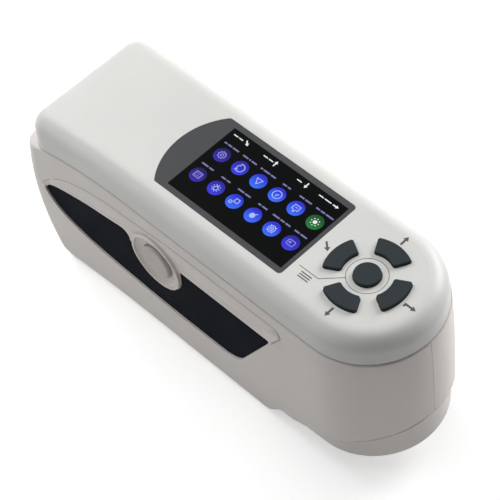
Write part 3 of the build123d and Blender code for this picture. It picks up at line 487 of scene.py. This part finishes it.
marks = Plates(TOP_Z - PRINT_HALF, TOP_Z + PRINT_HALF)
for tail, tip, width in (
    ([(19.1, 0.6)], (23.9, 0.6), ARROW_WIDTH),
    ([(-19.1, -0.6)], (-23.9, -0.6), ARROW_WIDTH),
    ([(-1.4, -19.6), (-0.1, -19.6)], (-0.1, -24.6), ARROW_WIDTH),
    ([(1.7, 23.0)], (-1.5, 19.4), 0.85),
):
    arrow(marks, by_nose(tail), *by_nose([tip]), width)
for step in range(3):
    bar_place = (WORD_PLACE[0] - WORD_PITCH * step, WORD_PLACE[1])
    marks.solid(rounded(*by_nose([bar_place]), WORD_BAR, WORD_ROUND))
marks.finish("keypad_marks", print_ink, "key_plastic")

# Display: the black window, the menu discs, their glyphs and the plain caption bars
SCREEN_Z = 95.5
SCREEN_Y = -11.25
WINDOW_SIZE = (37.7, 63.6)
WINDOW_ROUND = 0.3
window = Plates(SCREEN_Z - 0.02, SCREEN_Z + 0.01)
window.solid(rounded((0, SCREEN_Y), WINDOW_SIZE, WINDOW_ROUND))
window.finish("display_window", finishes["display_glass"], "display_glass")

DISC_RADIUS = 3.67
DISC_FADE = 0.7
DISC_HIGH = SCREEN_Z + 0.025
GLYPH_HIGH = SCREEN_Z + 0.045
GLYPH_STROKE = 0.36
DISC_FIRST_Y = -37.6
DISC_PITCH = 10.38
NEAR_ROW_X = -7.88
FAR_ROW_X = 5.51
BLUE = (srgb(58, 112, 255), srgb(40, 44, 208))
DEEP = (srgb(56, 58, 226), srgb(38, 30, 160))
INDIGO = (srgb(52, 36, 172), srgb(24, 10, 92))
GREEN = (srgb(22, 128, 58), srgb(8, 78, 30))

pale = lit("glyph_pale", srgb(176, 194, 255))
dusk = lit("glyph_dusk", srgb(146, 142, 236))
bright = lit("glyph_white", srgb(240, 244, 248))
caption_light = lit("caption_light", srgb(126, 124, 176))


# Strokes of a glyph: points, and whether they close
def outline(centre, size, radius):
    return (rounded(centre, size, radius, count=4), True)


def ring(radius, centre=(0, 0)):
    return (circle(centre, radius, count=32), True)


def stroke(*points):
    return (list(points), False)


def polar(radius, angle):
    return (radius * math.cos(angle), radius * math.sin(angle))


def spokes(count, start, end, turn=0.0):
    angles = [turn + TAU * i / count for i in range(count)]
    return [stroke(polar(start, angle), polar(end, angle)) for angle in angles]


def scallops(radius, depth, teeth, count=72):
    """A gear's round toothed outline."""
    angles = [TAU * i / count for i in range(count)]
    return [polar(radius + depth * math.cos(teeth * angle), angle) for angle in angles]


# Each glyph as the user sees it, right then up in millimetres: strokes, then filled shapes
glyph_card = ([outline((0, 0), (3.3, 2.5), 0.5)], [rounded((0.5, -0.1), (1.1, 0.9), 0.2, 4)])
glyph_target = ([ring(1.6), ring(0.8), *spokes(4, 1.2, 2.2, TAU / 8)], [circle((0, 0), 0.3, 16)])
glyph_pen = ([stroke((0.2, 0.1), (-1.5, -1.5))], [circle((0.1, 0.3), 1.25, 28)])
glyph_squares = (
    [outline((1.25, 1.0), (1.2, 1.2), 0.1), outline((-0.75, -0.75), (1.9, 1.9), 0.1)],
    [],
)
glyph_lamp = (
    [ring(0.95, (0, 0.2)), *spokes(9, 1.45, 1.95, 0.35), stroke((-0.5, -1.1), (0.5, -1.1))],
    [],
)
glyph_grid = (
    [outline((0, 0), (3.3, 2.7), 0.2)],
    [rounded((0.95 * i, 0.5 * j), (0.5, 0.5), 0.08, 4) for i in (-1, 0, 1) for j in (-1, 1)],
)
glyph_sun = (
    [],
    [circle((0, 0), 0.9, 24)] + [circle(polar(1.75, TAU * i / 8), 0.26, 14) for i in range(8)],
)
bag = [(-1.5, 0.8), (-1.5, -1.5), (1.5, -1.5), (1.5, 0.8), (0.8, 0.8), (0, 1.6), (-0.8, 0.8)]
glyph_bag = (
    [
        (bag, True),
        stroke((-0.7, -0.4), (0.7, -0.4)),
        stroke((-0.5, 1.9), (0.5, 1.9)),
    ],
    [],
)
glyph_clock = ([ring(1.95), stroke((0.1, 1.1), (0, 0), (-0.75, -0.4))], [circle((0, 0), 0.3, 16)])
glyph_triangle = ([([(-1.5, -1.1), (1.5, -1.1), (0, 1.6)], True)], [])
glyph_swirl = (
    [(circle((0, 0), 1.95, 30, 0.9, 4.4), False), (circle((0.3, 0.1), 1.1, 20, -1.6, 3.2), False)],
    [circle((1.35, 1.5), 0.35, 14)],
)
glyph_gear = ([(scallops(1.62, 0.24, 9), True), ring(0.6)], [])

# From the nose to the rear: glyph, disc colours, glyph colour and the caption's bars
near_row = (
    (glyph_card, DEEP, dusk, (3.4, 2.6)),
    (glyph_target, BLUE, pale, (2.6, 2.2, 3.6)),
    (glyph_pen, BLUE, pale, (2.8, 1.6)),
    (glyph_squares, BLUE, pale, (3.0, 3.4)),
    (glyph_lamp, DEEP, pale, (2.0, 2.4)),
    (glyph_grid, INDIGO, dusk, (2.4, 3.6)),
)
far_row = (
    (glyph_sun, GREEN, bright, (4.0, 2.2, 2.0)),
    (glyph_bag, BLUE, pale, (3.4, 2.6)),
    (glyph_clock, BLUE, pale, (1.6, 2.2)),
    (glyph_triangle, BLUE, pale, (2.6, 3.4, 1.2)),
    (glyph_swirl, DEEP, pale, (2.8, 0.8, 3.0)),
    (glyph_gear, INDIGO, dusk, (3.4, 2.2, 1.4)),
)
CAPTION_DROP = 5.5
CAPTION_HEIGHT = 0.72
CAPTION_GAP = 0.55
CAPTION_ROUND = 0.12


def caption(plates, centre, bars, height=CAPTION_HEIGHT):
    """A row of plain bars, centred on a place and read along Y."""
    start = centre[1] - (sum(bars) + CAPTION_GAP * (len(bars) - 1)) / 2
    for length in bars:
        middle = (centre[0], start + length / 2)
        plates.solid(rounded(middle, (height, length), CAPTION_ROUND, count=3))
        start += length + CAPTION_GAP


discs = {}
glyphs = {}
captions = Plates(SCREEN_Z, DISC_HIGH)
for row_x, row in ((NEAR_ROW_X, near_row), (FAR_ROW_X, far_row)):
    for place, (glyph, colours, shade, bars) in enumerate(row):
        centre = (row_x, DISC_FIRST_Y + DISC_PITCH * place)
        disc = discs.setdefault((row_x, colours), Plates(SCREEN_Z, DISC_HIGH))
        disc.solid(circle(centre, DISC_RADIUS, 48))
        mark = glyphs.setdefault(shade.name, (shade, Plates(SCREEN_Z, GLYPH_HIGH)))[1]
        put = reader(centre)
        for points, closed in glyph[0]:
            mark.band(put(points), GLYPH_STROKE, closed)
        for points in glyph[1]:
            mark.solid(put(points))
        caption(captions, (row_x + CAPTION_DROP, centre[1]), bars)
captions.finish("display_captions", caption_light, "display_glass")
tone_names = {BLUE: "blue", DEEP: "deep", INDIGO: "indigo", GREEN: "green"}
for (row_x, colours), disc in discs.items():
    name = f"discs_{tone_names[colours]}_{'near' if row_x < 0 else 'far'}"
    fade_run = (row_x + DISC_RADIUS * DISC_FADE, row_x - DISC_RADIUS)
    disc.finish(name, lit(f"{name}_finish", *colours, *fade_run), "display_glass")
for name, (shade, mark) in glyphs.items():
    mark.finish(name + "s", shade, "display_glass")

# Softkey bars and their arrows along the far edge of the display
SOFT_X = 16.3
SOFT_HEIGHT = 0.5
SOFT_ARROW_HALF = 1.5
SOFT_ARROW_WIDTH = 0.6
SOFT_ARROW_HEAD = 0.85
soft = Plates(SCREEN_Z, DISC_HIGH)
for bar_y, bars, arrow_y, way in (
    (-32.7, (3.6, 2.6), -38.4, (0, -1)),
    (-18.6, (2.6,), -22.4, (-1, 0)),
    (-1.2, (2.4, 2.4), -5.3, (1, 0)),
    (15.8, (2.2, 2.4), 10.9, (-0.7, -0.7)),
):
    caption(soft, (SOFT_X, bar_y), bars, SOFT_HEIGHT)
    tail = (SOFT_X - way[0] * SOFT_ARROW_HALF, arrow_y - way[1] * SOFT_ARROW_HALF)
    tip = (SOFT_X + way[0] * SOFT_ARROW_HALF, arrow_y + way[1] * SOFT_ARROW_HALF)
    arrow(soft, [tail], tip, SOFT_ARROW_WIDTH, SOFT_ARROW_HEAD)
soft.finish("display_softkeys", bright, "display_glass")

# Raised lip of each side's brow: from the grip's front tip, round its corner and to the rear.
# The CAD has the brow as a recess: the lip stands on its edge and falls back to its floor.
# Places are (y, z) of the side view, in millimetres.
BROW_Z = 75.2
BROW_SINK = 0.6
BROW_ROUND = 3.5
BROW_CORNER = (-49.1, BROW_Z - BROW_ROUND)
BROW_REAR = (
    (-22.0, BROW_Z),
    (5.0, BROW_Z),
    (33.0, 73.2),
    (58.0, 70.6),
    (78.2, 63.9),
    (92.3, 52.2),
)
GRIP_TIP = (-45.9, 61.9)
SLOPE_STEPS = 8
# Round spots that a lip stays out of, as place and radius: the button's collar and a screw
COLLAR = ((20.7, 56.3), 14.1)
CORNER_SCREW = ((-50.0, 72.0), 9.0)
# The lip's section: runs into the brow with shares of its height, then shares of its fall
LIP_FOOT = 0.6
LIP_HEIGHT = 0.42
LIP_OUTER = ((-LIP_FOOT, -0.3), (-0.3, 0.25), (0.0, 0.72), (0.3, 0.95), (0.6, 1.0))
LIP_INNER = (0.3, 0.65)
LIP_SINK = 0.05
LIP_BACK = 0.5
# How far the lip runs into the brow, and how it fades out towards the rear
LIP_LEAST = 0.9
LIP_MOST = 9.0
LIP_STEP = 0.25
LIP_MARGIN = 0.5
LIP_MITRE = 0.3
LIP_FADE = 12.0
LIP_FADED = 0.15
# Nothing goes farther out than this, just inside the CAD box's half width
WIDEST = 34.17
# The thin line of painted shade along the lip's outer foot
CREASE_RADIUS = 0.13
CREASE_SINK = 0.03
CREASE_END = 6.0
FAR_OUT = 60.0


def tree_of(node):
    """The search tree of a CAD node's mesh, in millimetres."""
    mesh = nodes[node].data
    places = [vert.co / MM for vert in mesh.vertices]
    return BVHTree.FromPolygons(places, [tuple(face.vertices) for face in mesh.polygons])


def smooth(points, steps=12):
    """A smooth line through points, with even steps between them."""
    ends = [points[0], *points, points[-1]]
    line = []
    for row in zip(ends, ends[1:], ends[2:], ends[3:]):
        for i in range(steps):
            t = i / steps
            weights = (
                -t + 2 * t**2 - t**3,
                2 - 5 * t**2 + 3 * t**3,
                t + 4 * t**2 - 3 * t**3,
                t**3 - t**2,
            )
            pairs = list(zip(weights, row))
            line.append(tuple(sum(w * place[k] for w, place in pairs) / 2 for k in (0, 1)))
    return [*line, points[-1]]


def brow_line():
    """The brow's edge from its front to its rear."""
    corner = circle(BROW_CORNER, BROW_ROUND, count=12, start=TAU / 2, sweep=-TAU / 4)
    slope = [
        tuple(GRIP_TIP[k] + (corner[0][k] - GRIP_TIP[k]) * i / SLOPE_STEPS for k in (0, 1))
        for i in range(1, SLOPE_STEPS)
    ]
    return slope + corner[:-1] + smooth([corner[-1], *BROW_REAR])


def fine_line(name, places, colour, radius):
    """A thin round line along places given in metres, with its radius in millimetres; dark ones
    carry painted shade, light ones a painted highlight.
    """
    curve = bpy.data.curves.new(name, "CURVE")
    curve.dimensions = "3D"
    curve.bevel_depth = radius * MM
    curve.bevel_resolution = 1
    spline = curve.splines.new("POLY")
    spline.points.add(len(places) - 1)
    for spot, place in zip(spline.points, places):
        spot.co = (*place, 1.0)
    piece = add_piece(name, curve, ink_and_painted_light(f"{name}_finish", colour, rough=0.8))
    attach(piece, "case")


def skin(tree, side, place):
    """How far out a node's skin is at a place of the side view, or nothing where it has none."""
    hit = tree.ray_cast(Vector((side * FAR_OUT, *place)), Vector((-side, 0, 0)))[0]
    return abs(hit.x) if hit else None


def ahead_of(point, way, distance):
    return tuple(point[k] + way[k] * distance for k in (0, 1))


def lip_reach(line, point, into, meets_grip, clear_spot):
    """How far the lip runs into the brow: up to the grip, the spot to keep clear or a mitre."""
    spot, size = clear_spot
    reach = LIP_LEAST
    while reach < LIP_MOST:
        place = ahead_of(point, into, reach + LIP_MARGIN)
        if math.dist(place, spot) < size or meets_grip(place):
            break
        if min(math.dist(place, other) for other in line) < reach + LIP_MITRE:
            break
        reach += LIP_STEP
    return reach


def lip_section(reach, fade):
    """The lip's closed section, as distances into the brow and heights over its floor's skin."""
    rows = [(run, share * LIP_HEIGHT * fade) for run, share in LIP_OUTER]
    crest_run, crest = rows[-1]
    for share in LIP_INNER:
        drop = share * (BROW_SINK + crest)
        rows.append((crest_run + share * (reach - crest_run), crest - drop))
    back = -BROW_SINK - LIP_BACK
    return [*rows, (reach, -BROW_SINK - LIP_SINK), (reach, back), (-LIP_FOOT, back)]


def lip(name, housing, grip, side, clear_spot):
    """A raised lip that falls back into the brow towards the grip; side is the sign of its X."""
    wall, rubber = tree_of(housing), tree_of(grip)
    line = brow_line()
    mesh = bmesh.new()
    rings, crease_shade = [], []
    for i, point in enumerate(line):
        dy, dz = unit(line[max(0, i - 1)], line[min(len(line) - 1, i + 1)])
        into = (dz, -dy)
        reach = lip_reach(line, point, into, lambda at: skin(rubber, side, at), clear_spot)
        foot = ahead_of(point, into, -LIP_FOOT)
        outside = skin(wall, side, foot)
        inside = skin(wall, side, ahead_of(point, into, reach))
        if not outside or not inside:
            continue
        inside += BROW_SINK
        rear = math.dist(point, line[-1])
        ring = []
        for run, height in lip_section(reach, min(1.0, rear / LIP_FADE + LIP_FADED)):
            share = (run + LIP_FOOT) / (reach + LIP_FOOT)
            x = min(outside + (inside - outside) * share + height, WIDEST)
            y, z = ahead_of(point, into, run)
            ring.append(mesh.verts.new((side * x * MM, y * MM, z * MM)))
        rings.append(ring)
        if rear > CREASE_END:
            x = min(outside, WIDEST - CREASE_RADIUS) - CREASE_SINK
            crease_shade.append((side * x * MM, foot[0] * MM, foot[1] * MM))
    # Painted shade: a line darker than the housing, lying in the crease at the lip's foot
    fine_line(f"{name}_crease", crease_shade, srgb(146, 142, 137), CREASE_RADIUS)
    for one, two in zip(rings, rings[1:]):
        for k in range(len(one)):
            j = (k + 1) % len(one)
            mesh.faces.new((one[k], one[j], two[j], two[k]))
    mesh.faces.new(rings[0])
    mesh.faces.new(rings[-1][::-1])
    bmesh.ops.recalc_face_normals(mesh, faces=mesh.faces)
    # The long sides are shaded smooth, and the two ends flat
    for face in mesh.faces:
        face.smooth = len(face.verts) == 4
    data = bpy.data.meshes.new(name)
    mesh.to_mesh(data)
    mesh.free()
    piece = add_piece(name, data, finishes["housing_plastic"])
    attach(piece, "case")


lip("brow_lip_left", "housing_left", "grip_left", 1, CORNER_SCREW)
lip("brow_lip_right", "housing_right", "grip_right", -1, COLLAR)

# Fine lines along the gaps where two shells meet: the dark ones are painted shade, the light one
# on the nose is a painted highlight
WELD = 0.002
WALL_TILT = 0.5
FACE_TILT = 0.7
REAR_Y = 60.0
SEAM_RADIUS = 0.2
EDGE_RADIUS = 0.3
EDGE_OUT = 1.05


def outer_rim(node, up, rear_y):
    """The longest outer edge round a node's top face, or its bottom face when up is -1.

    Outer walls are those that look away from the middle line, from the nose's centre to rear_y.
    """
    mesh = bmesh.new()
    mesh.from_mesh(nodes[node].data)
    bmesh.ops.remove_doubles(mesh, verts=mesh.verts, dist=WELD * MM)
    mesh.normal_update()

    def outer(face):
        middle = face.calc_center_median()
        centre_y = min(rear_y * MM, max(NOSE_Y * MM, middle.y))
        away = Vector((middle.x, middle.y - centre_y, 0))
        return abs(face.normal.z) < WALL_TILT and face.normal.dot(away) > 0

    def flat(face):
        return face.normal.z * up > FACE_TILT

    links = {}
    for edge in mesh.edges:
        if len(edge.link_faces) != 2:
            continue
        one, two = edge.link_faces
        if (flat(one) and outer(two)) or (flat(two) and outer(one)):
            first, last = edge.verts
            links.setdefault(first, []).append(last)
            links.setdefault(last, []).append(first)
    chains = []
    while links:
        here = next(iter(links))
        chain = [here]
        while links.get(here):
            there = links[here].pop()
            links[there].remove(here)
            chain.append(there)
            if not links[here]:
                del links[here]
            here = there
        links.pop(here, None)
        chains.append([vert.co.copy() for vert in chain])
    mesh.free()
    return max(chains, key=lambda row: sum((b - a).length for a, b in zip(row, row[1:])))


def seam(name, node, up, rear_y, colour, radius, out=0.0):
    """A fine line along a node's outer rim, moved out from the nose and kept in the CAD box; a
    dark colour paints shade, a light one a highlight.
    """
    front = cad_box[0][1] + radius * MM
    rim = outer_rim(node, up, rear_y)
    for place in rim:
        away = Vector((place.x, min(0, place.y - NOSE_Y * MM), 0)).normalized() * out * MM
        place.xy = place.x + away.x, max(front, place.y + away.y)
    fine_line(name, rim, colour, radius)


# Painted shade: a dark line in the gap between the cover and the housing
seam("cover_seam_shade", "top_cover", -1, REAR_Y, srgb(186, 182, 176), SEAM_RADIUS)
# Painted shade: a dark line in the gap between the nose base and the housing
seam("nose_seam_shade", "nose_base", 1, NOSE_Y, srgb(122, 118, 112), SEAM_RADIUS)
# Painted highlight: a light line on the housing's lower edge round the nose
seam("nose_edge_highlight", "nose_base", 1, NOSE_Y, srgb(240, 235, 230), EDGE_RADIUS, EDGE_OUT)

# Floor, light and camera
scene.view_settings.view_transform = "Standard"

CENTRE = (0.0, 0.0, 0.05)
WHITE = (1, 1, 1, 1)
AMBIENT = 0.04
FLOOR_HALF = 4
FLOOR_TONE = (0.8, 0.8, 0.8, 1)
FLOOR_GLOW = {"From Min": 0.5, "From Max": 1.6, "To Min": 0.5, "To Max": 1.0}
CAMERA_SENSOR = 36.0
CAMERA_LENS = 135.1
CAMERA_NEAREST = 0.01
CAMERA_PLACE = (-0.2871, -0.3775, 0.6661)
CAMERA_RIGHT = (0.708, -0.6994, -0.0976)
CAMERA_AHEAD = (0.370, 0.4851, -0.7923)


def lamp(name, place, aim, size, power):
    """A square white area lamp that looks at a point; metres and watts."""
    data = bpy.data.lights.new(name, "AREA")
    data.shape = "SQUARE"
    data.size = size
    data.energy = power
    holder = bpy.data.objects.new(name, data)
    holder.location = place
    holder.rotation_euler = (Vector(aim) - Vector(place)).to_track_quat("-Z", "Y").to_euler()
    scene.collection.objects.link(holder)


lamp("rear_light", (0.05, 1.5, 1.4), CENTRE, 1.1, 17.3)
lamp("top_light", (-0.05, 0.1, 1.9), CENTRE, 1.2, 10.0)
lamp("left_light", (-0.45, 0.55, 0.42), (0.0, 0.06, 0.05), 0.4, 1.2)
lamp("right_light", (1.7, -0.2, 0.8), CENTRE, 1.0, 31.0)


def shown_share(tree):
    """1 for what the camera, a mirror or glass sees, and 0 for the light that falls on things."""
    path = tree.nodes.new("ShaderNodeLightPath")
    total = path.outputs["Is Camera Ray"]
    for name in ("Is Glossy Ray", "Is Transmission Ray"):
        add = tree.nodes.new("ShaderNodeMath")
        add.operation = "MAXIMUM"
        tree.links.new(total, add.inputs[0])
        tree.links.new(path.outputs[name], add.inputs[1])
        total = add.outputs[0]
    return total


world = bpy.data.worlds.new("studio")
scene.world = world
world.use_nodes = True
sky = world.node_tree
ground = sky.nodes["Background"]
ground.inputs["Color"].default_value = WHITE
ground.inputs["Strength"].default_value = AMBIENT
seen = sky.nodes.new("ShaderNodeBackground")
seen.inputs["Color"].default_value = WHITE
seen.inputs["Strength"].default_value = 1.0
choice = sky.nodes.new("ShaderNodeMixShader")
sky.links.new(shown_share(sky), choice.inputs["Fac"])
sky.links.new(ground.outputs[0], choice.inputs[1])
sky.links.new(seen.outputs[0], choice.inputs[2])
sky.links.new(choice.outputs[0], sky.nodes["World Output"].inputs["Surface"])

# The floor keeps the object's shadow near it, and glows towards white farther away
floor_data = bpy.data.meshes.new("floor")
corners = [(x * FLOOR_HALF, y * FLOOR_HALF, 0) for x, y in ((-1, -1), (1, -1), (1, 1), (-1, 1))]
floor_data.from_pydata(corners, [], [(0, 1, 2, 3)])
floor = bpy.data.objects.new("floor", floor_data)
scene.collection.objects.link(floor)
paper = bpy.data.materials.new("paper")
paper.use_nodes = True
tree = paper.node_tree
tree.nodes.remove(tree.nodes["Principled BSDF"])
matt = tree.nodes.new("ShaderNodeBsdfDiffuse")
matt.inputs["Color"].default_value = FLOOR_TONE
lift = tree.nodes.new("ShaderNodeEmission")
tree.links.new(shown_share(tree), lift.inputs["Strength"])
ground_place = tree.nodes.new("ShaderNodeNewGeometry")
distance = tree.nodes.new("ShaderNodeVectorMath")
distance.operation = "LENGTH"
rise = tree.nodes.new("ShaderNodeMapRange")
for socket, value in FLOOR_GLOW.items():
    rise.inputs[socket].default_value = value
tree.links.new(ground_place.outputs["Position"], distance.inputs[0])
tree.links.new(distance.outputs["Value"], rise.inputs["Value"])
tree.links.new(rise.outputs["Result"], lift.inputs["Color"])
both = tree.nodes.new("ShaderNodeAddShader")
tree.links.new(matt.outputs[0], both.inputs[0])
tree.links.new(lift.outputs[0], both.inputs[1])
tree.links.new(both.outputs[0], tree.nodes["Material Output"].inputs["Surface"])
floor_data.materials.append(paper)

# The camera fitted to the photograph's straight edges
eye = bpy.data.cameras.new("camera")
eye.sensor_width = CAMERA_SENSOR
eye.lens = CAMERA_LENS
eye.clip_start = CAMERA_NEAREST
camera = bpy.data.objects.new("camera", eye)
right = Vector(CAMERA_RIGHT).normalized()
ahead = Vector(CAMERA_AHEAD).normalized()
up = right.cross(ahead).normalized()
right = ahead.cross(up).normalized()
turn = Matrix((right, up, -ahead)).transposed().to_4x4()
camera.matrix_world = Matrix.Translation(CAMERA_PLACE) @ turn
scene.collection.objects.link(camera)
scene.camera = camera
